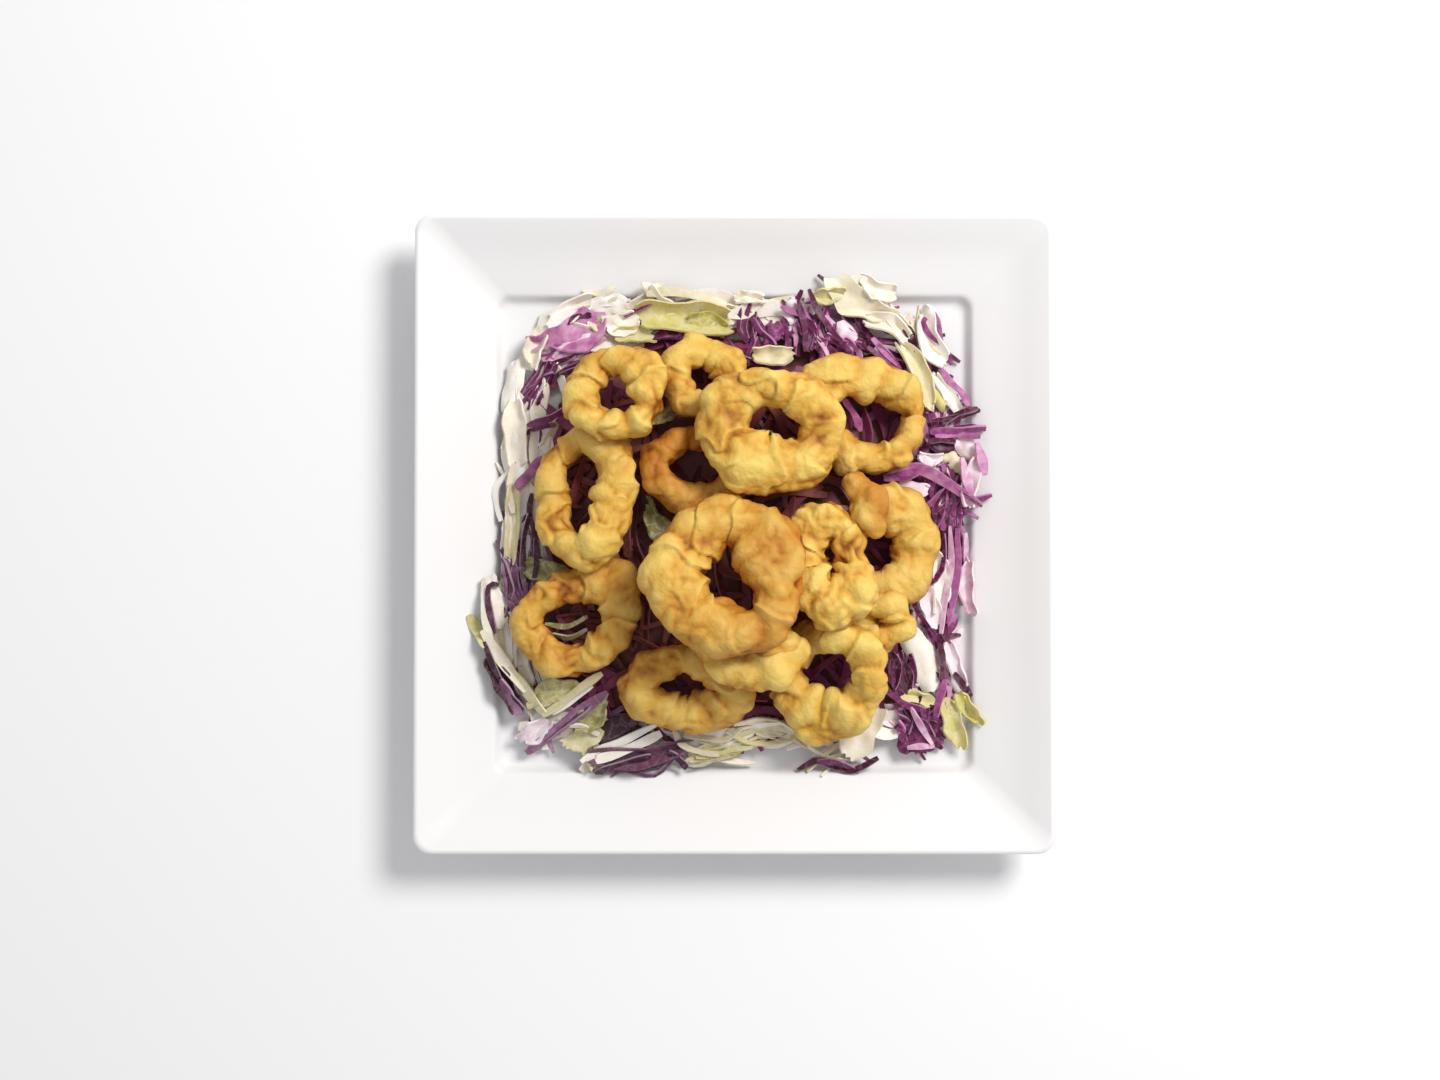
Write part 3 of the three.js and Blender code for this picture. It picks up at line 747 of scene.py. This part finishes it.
def lay_strand(pile, corners, width, tint, depth, lift, chance):
    """Adds one strip of cabbage along a way, twisted, tapered and cut square along its edges."""
    way = soft_way(corners, STRAND_CUTS + 2, depth, lift)
    strip = strand_blank.copy()
    tint_notes = strip.faces.layers.float["tint"]
    drift = chance.uniform(-STRAND_DRIFT, STRAND_DRIFT)
    for face in strip.faces:
        face[tint_notes] = tint + drift * face.calc_center_median().x
    thick = chance.uniform(*STRAND_THICK) * MM
    roll = chance.uniform(-STRAND_ROLL, STRAND_ROLL)
    twist = chance.uniform(-STRAND_TWIST, STRAND_TWIST)
    curl = chance.uniform(0, STRAND_CURL) * MM
    bow = chance.uniform(-STRAND_BOW, STRAND_BOW)
    frames = []
    for number, point in enumerate(way):
        share = number / (len(way) - 1)
        ahead = (way[min(number + 1, len(way) - 1)] - way[max(number - 1, 0)]).normalized()
        side = Vector((0, 0, 1)).cross(ahead).normalized()
        rise = ahead.cross(side)
        turn = roll + twist * (share - 0.5)
        across = side * math.cos(turn) + rise * math.sin(turn)
        taper = 1 - END_TAPER * abs(2 * share - 1) ** END_SHARPNESS
        taper += EDGE_WAVER * math.sin(share * EDGE_WAVES + roll * EDGE_WAVES)
        clear = abs(math.sin(turn)) * width * 0.5 * taper
        base = point + Vector((0, 0, clear + thick / 2 + curl * (2 * share - 1) ** 2))
        frames.append((base, across * width * taper, rise * math.cos(turn) - side * math.sin(turn)))
    for vert in strip.verts:
        base, across, up = frames[round((vert.co.x + 0.5) * (len(way) - 1))]
        vert.co = base + across * vert.co.y + up * (vert.co.z * thick + bow * width * vert.co.y ** 2)
    strip.to_mesh(scratch_mesh)
    strip.free()
    pile.from_mesh(scratch_mesh)


def lay_clump(pile, clump, chance):
    """Adds a tangle of strands that head roughly one way round a middle."""
    x, y, radius, heading, spread, length, number, darkest, palest = clump
    for _ in range(number):
        aim = math.radians(chance.gauss(heading, spread * CLUMP_SPREAD))
        away = Vector((radius * math.sqrt(chance.random()), 0))
        away.rotate(Matrix.Rotation(chance.uniform(0, math.tau), 2))
        middle = (Vector((x, y)) + away) * MM
        way = wandering(middle, aim, length * chance.uniform(*CLUMP_LENGTHS) * MM, chance)
        tint = darkest + (palest - darkest) * chance.random() ** CLUMP_DARKNESS
        lift = chance.uniform(*CLUMP_LIFTS)
        lay_strand(pile, way, chance.uniform(*CLUMP_WIDTHS) * MM, tint, CLUMP_DEPTH, lift, chance)


def lay_singles(pile, strands, lift, chance):
    """Adds single strands on their own ways; a way of two corners gets a third, just off the line."""
    for tint, width, corners in strands:
        way = [Vector(corner) * MM for corner in corners]
        if len(way) == 2:
            aside = Vector((chance.gauss(0, SINGLE_WOBBLE), chance.gauss(0, SINGLE_WOBBLE)))
            way.insert(1, (way[0] + way[1]) / 2 + aside * MM)
        lay_strand(pile, way, width * MM, tint, 1.0, lift, chance)


def on_heap(place):
    """Whether the heap lies at a place."""
    return heap_surface.ray_cast(place.to_3d() + Vector((0, 0, SKY)), Vector((0, 0, -1)))[0] is not None


def fill_bed(pile, number, tints, widths, rim, sides, depths, chance):
    """Scatters strands inside the heap, or along its rim, where they follow its sides."""
    low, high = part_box("cabbage_bed")
    while number:
        place = Vector((chance.uniform(low.x, high.x), chance.uniform(low.y, high.y)))
        if not on_heap(place * RIM_INSET) or on_heap(place * RIM_REACH) == rim:
            continue
        if not sides[0] <= place.x / MM <= sides[1]:
            continue
        heading = chance.uniform(0, math.pi)
        if rim:
            heading = chance.gauss(0, RIM_SPREAD) + (math.pi / 2 if abs(place.x) > abs(place.y) else 0)
        way = wandering(place, heading, chance.uniform(*FILL_LENGTHS) * MM, chance)
        while not all(on_heap(corner * RIM_KEEP) for corner in way):
            way = [place.lerp(corner, DRAW_IN) for corner in way]
        tint = chance.uniform(*tints)
        lay_strand(pile, way, chance.uniform(*widths) * MM, tint, chance.uniform(*depths), 0, chance)
        number -= 1


strand_blank = new_pile()
cut_notes = strand_blank.faces.layers.float["cut"]
bmesh.ops.create_cube(strand_blank, size=1)
long_edges = [e for e in strand_blank.edges if abs(e.verts[0].co.x - e.verts[1].co.x) > 0.5]
bmesh.ops.subdivide_edges(strand_blank, edges=long_edges, cuts=STRAND_CUTS, use_grid_fill=True)
strand_blank.normal_update()
for face in strand_blank.faces:
    face[cut_notes] = 1.0 if abs(face.normal.z) < 0.5 else 0.0
scratch_mesh = bpy.data.meshes.new("scratch")

chance = random.Random(11)
shaded = new_pile()
fill_bed(
    shaded, DARK_FILL, tints=(0.0, 1.0), widths=(1.8, 3.6), rim=False, sides=WHOLE_WIDTH,
    depths=(0.55, 0.85), chance=chance,
)
shaded_tints = shaded.faces.layers.float["tint"]
# Painted shade: deep shreds are darker towards the left and paler towards the right, and purple towards
# the rim.
for face in shaded.faces:
    place = face.calc_center_median() / MM
    outward = max(0.0, place.xy.length - SHADE_REACH) * SHADE_GAIN
    deep_tint = SHADE_START + SHADE_SPREAD * face[shaded_tints]
    face[shaded_tints] = deep_tint + SHADE_SLOPE * place.x + outward
purple = new_pile()
for number, tints, widths, sides, depths in (
    (RIM_FILL, (0.05, 0.6), (1.4, 2.8), WHOLE_WIDTH, (0.6, 0.9)),
    (RIGHT_FILL, (0.15, 0.8), (1.5, 3.2), (72, 120), (0.7, 1.0)),
    (PINK_FILL, (0.95, 1.25), (2.5, 5.0), (60, 120), (0.5, 0.8)),
):
    fill_bed(
        purple, number, tints=tints, widths=widths, rim=True, sides=sides, depths=depths, chance=chance
    )
lay_singles(purple, PURPLE_STRANDS, SINGLE_LIFT, chance)
for clump in PURPLE_CLUMPS:
    lay_clump(purple, clump, chance)


def heap_piece(name, pile, finish):
    """Turns a pile of shreds or scraps into one finished piece of the heap."""
    mesh = bpy.data.meshes.new(name)
    pile.to_mesh(mesh)
    pile.free()
    mesh.shade_smooth()
    mesh.set_sharp_from_angle(angle=CUT_CREASE)
    mesh.materials.append(finish)
    piece = bpy.data.objects.new(name, mesh)
    bpy.context.scene.collection.objects.link(piece)
    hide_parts("cabbage_bed")
    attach(piece, "root")


def cabbage_material(name, colours, cut_colour, cut_share, vein_share, faded):
    """A moist leaf whose colour comes from each shred's tint, duller towards the heap's near left."""
    finish = bpy.data.materials.new(name)
    finish.use_nodes = True
    tree = finish.node_tree
    shader = tree.nodes["Principled BSDF"]
    shader.inputs["Roughness"].default_value = 0.42
    shader.inputs["Specular IOR Level"].default_value = 0.25
    shader.inputs["Subsurface Weight"].default_value = 0.08
    shader.inputs["Subsurface Radius"].default_value = (0.002, 0.001, 0.001)
    shader.inputs["Subsurface Scale"].default_value = 1.0
    place = tree.nodes.new("ShaderNodeTexCoord")
    tint = tree.nodes.new("ShaderNodeAttribute")
    tint.attribute_name = "tint"
    patches = tree.nodes.new("ShaderNodeTexNoise")
    patches.inputs["Scale"].default_value = 260
    patches.inputs["Detail"].default_value = 3
    shift = tree.nodes.new("ShaderNodeMath")
    shift.operation = "MULTIPLY_ADD"
    shift.inputs[1].default_value = PATCH_SHARE
    shift.inputs[2].default_value = -PATCH_SHARE / 2
    level = tree.nodes.new("ShaderNodeMath")
    level.operation = "ADD"
    level.use_clamp = True
    ramp = tree.nodes.new("ShaderNodeValToRGB")
    ramp.color_ramp.elements[0].color = colours[0][1]
    ramp.color_ramp.elements[1].color = colours[-1][1]
    for position, colour in colours[1:-1]:
        ramp.color_ramp.elements.new(position).color = colour
    cut = tree.nodes.new("ShaderNodeAttribute")
    cut.attribute_name = "cut"
    cut_amount = tree.nodes.new("ShaderNodeMath")
    cut_amount.operation = "MULTIPLY"
    cut_amount.inputs[1].default_value = cut_share
    cut_mix = tree.nodes.new("ShaderNodeMix")
    cut_mix.data_type = "RGBA"
    cut_mix.inputs["B"].default_value = cut_colour
    wobble = tree.nodes.new("ShaderNodeVectorMath")
    wobble.operation = "MULTIPLY_ADD"
    wobble.inputs[1].default_value = (0.006, 0.006, 0.006)
    network = tree.nodes.new("ShaderNodeTexVoronoi")
    network.feature = "DISTANCE_TO_EDGE"
    network.inputs["Scale"].default_value = 170
    vein = tree.nodes.new("ShaderNodeMapRange")
    vein.inputs["From Max"].default_value = 0.10
    vein.inputs["To Min"].default_value = vein_share
    vein.inputs["To Max"].default_value = 0.0
    vein_mix = tree.nodes.new("ShaderNodeMix")
    vein_mix.data_type = "RGBA"
    vein_mix.inputs["B"].default_value = cut_colour
    relief = tree.nodes.new("ShaderNodeMath")
    relief.operation = "ADD"
    corner = tree.nodes.new("ShaderNodeVectorMath")
    corner.operation = "DOT_PRODUCT"
    corner.inputs[1].default_value = (1, 1, 0)
    fade = tree.nodes.new("ShaderNodeMapRange")
    fade.inputs["From Min"].default_value = FADE_START
    fade.inputs["From Max"].default_value = FADE_END
    fade.inputs["To Min"].default_value = faded
    fade.inputs["To Max"].default_value = 1.0
    dull = tree.nodes.new("ShaderNodeHueSaturation")
    grain = tree.nodes.new("ShaderNodeBump")
    grain.inputs["Strength"].default_value = 0.25
    grain.inputs["Distance"].default_value = 0.0005
    for source, output, target, socket in (
        (place, "Object", patches, "Vector"),
        (patches, "Fac", shift, 0),
        (shift, "Value", level, 0),
        (tint, "Fac", level, 1),
        (level, "Value", ramp, "Fac"),
        (cut, "Fac", cut_amount, 0),
        (cut_amount, "Value", cut_mix, "Factor"),
        (place, "Object", wobble, 2),
        (patches, "Color", wobble, 0),
        (wobble, "Vector", network, "Vector"),
        (network, "Distance", vein, "Value"),
        (vein, "Result", vein_mix, "Factor"),
        (ramp, "Color", vein_mix, "A"),
        (vein_mix, "Result", cut_mix, "A"),
        (place, "Object", corner, 0),
        (corner, "Value", fade, "Value"),
        (fade, "Result", dull, "Saturation"),
        (cut_mix, "Result", dull, "Color"),
        (dull, "Color", shader, "Base Color"),
        (patches, "Fac", relief, 0),
        (vein, "Result", relief, 1),
        (relief, "Value", grain, "Height"),
        (grain, "Normal", shader, "Normal"),
    ):
        tree.links.new(source.outputs[output], target.inputs[socket])
    return finish


purple_finish = cabbage_material(
    "purple_cabbage",
    [
        (0.0, (0.055, 0.010, 0.022, 1)),
        (0.15, (0.092, 0.009, 0.041, 1)),
        (0.40, (0.218, 0.032, 0.142, 1)),
        (0.65, (0.440, 0.130, 0.315, 1)),
        (0.85, (0.700, 0.400, 0.550, 1)),
        (1.0, (0.890, 0.760, 0.790, 1)),
    ],
    cut_colour=(0.70, 0.42, 0.62, 1),
    cut_share=0.42,
    vein_share=0.12,
    faded=0.68,
)
# The shaded shreds' ramp is painted shade, dark brown and maroon, ending in dark purple.
shaded_finish = cabbage_material(
    "cabbage_in_painted_shade",
    [
        (0.0, (0.085, 0.018, 0.022, 1)),
        (0.35, (0.140, 0.034, 0.022, 1)),
        (0.70, (0.240, 0.054, 0.042, 1)),
        (1.0, (0.205, 0.030, 0.098, 1)),
    ],
    cut_colour=(0.42, 0.20, 0.24, 1),
    cut_share=0.25,
    vein_share=0.10,
    faded=1.0,
)
heap_piece("purple_shreds", purple, purple_finish)
heap_piece("shreds_in_painted_shade", shaded, shaded_finish)

# ---------------------------------------------------------------- white cabbage shreds
# Strips of white cabbage, from olive green through cream to white. They show along the rim of
# the heap only, since the squid covers its middle.

# Single strands and clumps, given as the purple ones are.
WHITE_STRANDS = [
    (0.80, 2.4, [(-33, 99), (-30, 94.5), (-24, 91)]),
    (0.66, 3.6, [(-35, 95.5), (-26, 96.5), (-14, 94.5), (-3, 91)]),
    (0.30, 4.0, [(-106, -32.5), (-102, -39.5), (-98.5, -45)]),
    (0.72, 4.5, [(-100, -38.5), (-94, -48), (-88, -56.5), (-83, -63)]),
    (0.48, 4.5, [(-90, -53.5), (-84, -61), (-79, -67.5), (-74.5, -72.5)]),
    (0.45, 3.2, [(-76, -72.5), (-69, -68), (-60, -61), (-52, -55.5)]),
    (0.95, 2.0, [(-72, -72), (-64, -66.5), (-56, -60.5)]),
    (0.90, 4.0, [(-58.5, -91.5), (-48, -88), (-38, -84), (-29, -79.5)]),
    (0.80, 2.0, [(-65.5, -76.5), (-60, -76.5), (-53.5, -80)]),
    (0.95, 3.0, [(-61, -91), (-54, -86), (-46, -83.5), (-37, -79), (-29, -75)]),
    (0.60, 2.4, [(-24, -78), (-21, -84), (-14, -87), (-6, -88)]),
    (0.10, 1.4, [(-16.5, -92.5), (-8, -90.5), (2, -88)]),
    (0.02, 2.0, [(-75, -36), (-66, -37), (-58, -33)]),
    (-0.1, 1.8, [(-72, -40), (-65, -41.5), (-58, -38)]),
    (0.80, 2.6, [(-91, -10), (-90, 2), (-91, 14)]),
    (0.75, 2.4, [(-88, 8), (-90, 18), (-88, 28)]),
    (0.85, 3.0, [(-96, -45), (-99, -32), (-99, -20)]),
]
WHITE_CLUMPS = [
    (-7, -85.5, 5, 8, 12, 24, 10, 0.35, 0.70),
    (14, -80, 5, -5, 14, 24, 10, 0.40, 0.75),
    (-90, 20, 6, 90, 22, 26, 5, 0.80, 1.10),
    (-93, -35, 6, 105, 20, 26, 8, 0.50, 1.00),
    (-88, 50, 6, 80, 18, 24, 5, 0.80, 1.10),
    (36, -86, 7, 10, 25, 22, 9, 0.50, 1.00),
    (70, 80, 7, 140, 30, 20, 10, 0.60, 1.00),
    (-55, 92, 6, 10, 25, 18, 8, 0.70, 1.00),
]
WHITE_FILL = 90
WHITE_LIFT = 3.0

chance = random.Random(23)
white = new_pile()
fill_bed(
    white, WHITE_FILL, tints=(0.70, 1.05), widths=(3.0, 7.0), rim=True, sides=(-120, 62),
    depths=(0.50, 0.85), chance=chance,
)
lay_singles(white, WHITE_STRANDS, WHITE_LIFT, chance)
for clump in WHITE_CLUMPS:
    lay_clump(white, clump, chance)

white_finish = cabbage_material(
    "white_cabbage",
    [
        (0.0, (0.210, 0.190, 0.050, 1)),
        (0.30, (0.610, 0.550, 0.150, 1)),
        (0.55, (0.700, 0.620, 0.360, 1)),
        (0.80, (0.860, 0.780, 0.610, 1)),
        (1.0, (0.930, 0.880, 0.820, 1)),
    ],
    cut_colour=(0.86, 0.78, 0.66, 1),
    cut_share=0.5,
    vein_share=0.30,
    faded=0.85,
)
heap_piece("white_shreds", white, white_finish)

# ---------------------------------------------------------------- scraps of leaf
# Broader pieces of leaf lie among the shreds, cupped, with ragged edges. The purple ones and the
# white ones are one piece each.

# In mm: how thick a scrap is, how high it lies on the bed, and its least gap to the plate.
LEAF_THICK = 0.8
LEAF_LIFT = 2.6
LEAF_GAP = 0.6
LEAF_ALONG = 14
LEAF_ACROSS = 8
# How near to the top of the heap a scrap lies, and how closely it follows the ground under it.
LEAF_DEPTH = 0.9
LEAF_FOLLOW = 0.6
# A scrap is cupped, some of them the other way up, and slanted and bent by up to these shares.
LEAF_CUP = 0.32
CUP_RANGE = (0.5, 1.3)
CUP_SIDES = (1, 1, -0.6)
LEAF_SLANT = 0.5
LEAF_BEND = 0.35
# How full its outline is, how ragged its long edges and its torn ends are, and how it is ruffled:
# the height in mm, and the share of that which its middle has.
LEAF_BELLY = 0.38
RAGGEDNESS = 0.36
TORN_ENDS = 0.24
LEAF_RUFFLE = 1.5
RUFFLE_MIDDLE = 0.4
# How closely the waves of its long edges, its ends and its ruffles follow one another, how far apart
# the noise of opposite edges is taken, and how far that of different scraps may be.
LEAF_EDGE_WAVES = 1.7
LEAF_END_WAVES = 1.9
LEAF_RUFFLE_WAVES = (1.6, 1.3)
EDGES_APART = 7
NOISE_SPAN = 99
# Each scrap: middle, heading in degrees, length, width, and tint.
PURPLE_LEAVES = [
    (-64.5, 78, 27, 27, 15, 0.72), (24, 89, 60, 9, 7, 0.95), (45, 79, -50, 11, 7, 0.95),
    (52, 76, -50, 8, 6, 0.10), (83.5, 34, 10, 9, 8, 0.05), (-25, 79.5, 0, 12, 5, 0.20),
    (-18, 79.5, 0, 9, 5, 0.60), (71.2, 78, -65, 10, 4, 0.0), (93, 34, -60, 12, 7, 1.0),
    (-79, -79, 40, 14, 8, 0.95), (16, 79, 80, 9, 7, 0.35), (30, 80, 110, 12, 7, 0.25),
    (71, 17.5, -10, 12, 6, 1.15), (78, 29.3, -5, 10, 5, 1.15), (78.5, -29, -70, 18, 9, 1.2),
    (88, -52, -70, 18, 6, 1.0), (93, -22, -85, 22, 6, 0.95), (94, 20, 80, 20, 7, 1.0),
    (73.5, -77.5, 60, 18, 14, 0.30), (-38, -89.5, 6, 38, 9, 0.28), (-46, -78, 20, 18, 10, 0.0),
    (-91, -60, -62, 26, 8, 0.05), (-88, -24, -80, 26, 7, 0.42), (85, 2, 80, 16, 9, 0.15),
]
WHITE_LEAVES = [
    (-20, 86.5, -4, 37, 13, 0.38), (-32.5, 97, 0, 8, 5, 0.80),
    (6, 94.5, 0, 12, 5, 0.85), (15.5, 70, 0, 16, 8, 0.62),
    (-45, 83, 10, 14, 10, 0.90), (-52, 83, -30, 11, 7, 0.60), (-50, 92.5, 0, 15, 8, 1.0),
    (-40, 79.5, 0, 16, 7, 0.45), (-80, 74.5, 70, 16, 8, 0.85), (-88.5, 60, 80, 22, 7, 0.95),
    (-87.5, 40, 95, 26, 10, 0.85), (-88.5, 5, 88, 30, 6, 0.55), (-72.5, -63, 10, 18, 10, 0.15),
    (-55.5, -73, 35, 16, 9, 0.12), (-60, -82, 30, 16, 9, 0.50), (-57.5, -88, 80, 9, 6, 0.50),
    (51, -78.5, 62, 25, 13, 0.80), (75.5, -50, -65, 26, 10, 0.92), (73.5, -65.5, -20, 12, 6, 0.50),
    (87.4, -75.2, -75, 20, 9, 0.40), (93.4, -70.2, -54, 15, 6, 0.36),
    (87.8, 29, -30, 9, 6, 0.60), (49, 92, -35, 26, 12, 0.76), (57, 96.5, -20, 15, 8, 0.85),
    (62.5, 83.5, -25, 19, 8, 0.85), (78, 78, -65, 22, 10, 0.97), (74.5, 64, -65, 28, 8, 0.55),
    (81, 57, -50, 14, 7, 0.35), (86, 55.5, -55, 22, 5, 0.95), (37.5, 94.5, 0, 12, 7, 0.50),
    (-96, -28, 100, 22, 8, 0.90), (-78, 10, 90, 18, 7, 0.70), (-86.5, 24, 92, 32, 11, 1.0),
    (-89, -2, 86, 26, 9, 0.95), (-66, 89, 25, 20, 9, 1.0),
    (-11, 84.5, -12, 17, 9, 0.20), (-75.5, -15, -15, 17, 9, 0.06), (-29, 46, 10, 14, 6, 0.03),
    (-31, 3, -50, 17, 9, -0.05), (83, -19, -84, 22, 8, 1.0),
]


def lay_leaf(pile, scrap, chance):
    """Adds one cupped, ragged scrap of leaf on top of the bed."""
    x, y, heading, length, width, tint = scrap
    leaf = new_pile()
    tint_notes = leaf.faces.layers.float["tint"]
    bmesh.ops.create_grid(leaf, x_segments=LEAF_ALONG, y_segments=LEAF_ACROSS, size=0.5)
    for face in leaf.faces:
        face[tint_notes] = tint
    turn = Matrix.Rotation(math.radians(heading), 2)
    cup = LEAF_CUP * chance.uniform(*CUP_RANGE) * chance.choice(CUP_SIDES)
    away = Vector((chance.uniform(0, NOISE_SPAN), chance.uniform(0, NOISE_SPAN), 0))
    level = bed_height(Vector((x, y)) * MM, LEAF_DEPTH, 0)
    slant = chance.uniform(-LEAF_SLANT, LEAF_SLANT)
    bend = chance.uniform(-LEAF_BEND, LEAF_BEND)
    for vert in leaf.verts:
        along, aside = vert.co.x * 2, vert.co.y * 2
        belly = 1 - LEAF_BELLY + LEAF_BELLY * math.sqrt(max(0.0, 1 - along * along))
        long_edge = Vector((along * LEAF_EDGE_WAVES, math.copysign(EDGES_APART, aside), 0))
        ragged = 1 + RAGGEDNESS * noise.noise(long_edge + away)
        end_edge = Vector((math.copysign(EDGES_APART, along), aside * LEAF_END_WAVES, 2))
        torn = 1 + TORN_ENDS * noise.noise(end_edge + away)
        flat = Vector((along * torn * length / 2, aside * width / 2 * belly * ragged))
        flat += Vector((slant * aside * width / 2, bend * width * along * along))
        spot = (turn @ flat + Vector((x, y))) * MM
        ground = bed_height(spot, LEAF_DEPTH, 0) * LEAF_FOLLOW + level * (1 - LEAF_FOLLOW)
        waves = Vector((along * LEAF_RUFFLE_WAVES[0], aside * LEAF_RUFFLE_WAVES[1], 5))
        ruffle = LEAF_RUFFLE * noise.noise(waves + away)
        rise = (cup * width * aside * aside + ruffle * (RUFFLE_MIDDLE + abs(aside)) + LEAF_LIFT) * MM
        vert.co = (spot.x, spot.y, max(ground + rise, bed_height(spot, 0.0, 0) + LEAF_GAP * MM))
    doubled = bmesh.ops.extrude_face_region(leaf, geom=leaf.faces[:], use_keep_orig=True)
    leaf.normal_update()
    for vert in [item for item in doubled["geom"] if isinstance(item, bmesh.types.BMVert)]:
        vert.co += vert.normal * LEAF_THICK * MM
    bmesh.ops.recalc_face_normals(leaf, faces=leaf.faces)
    leaf.to_mesh(scratch_mesh)
    leaf.free()
    pile.from_mesh(scratch_mesh)


chance = random.Random(31)
for name, scraps, finish in (
    ("purple_leaves", PURPLE_LEAVES, purple_finish),
    ("white_leaves", WHITE_LEAVES, white_finish),
):
    pile = new_pile()
    for scrap in scraps:
        lay_leaf(pile, scrap, chance)
    bmesh.ops.recalc_face_normals(pile, faces=pile.faces)
    heap_piece(name, pile, finish)
strand_blank.free()
heap.free()
bpy.data.meshes.remove(scratch_mesh)
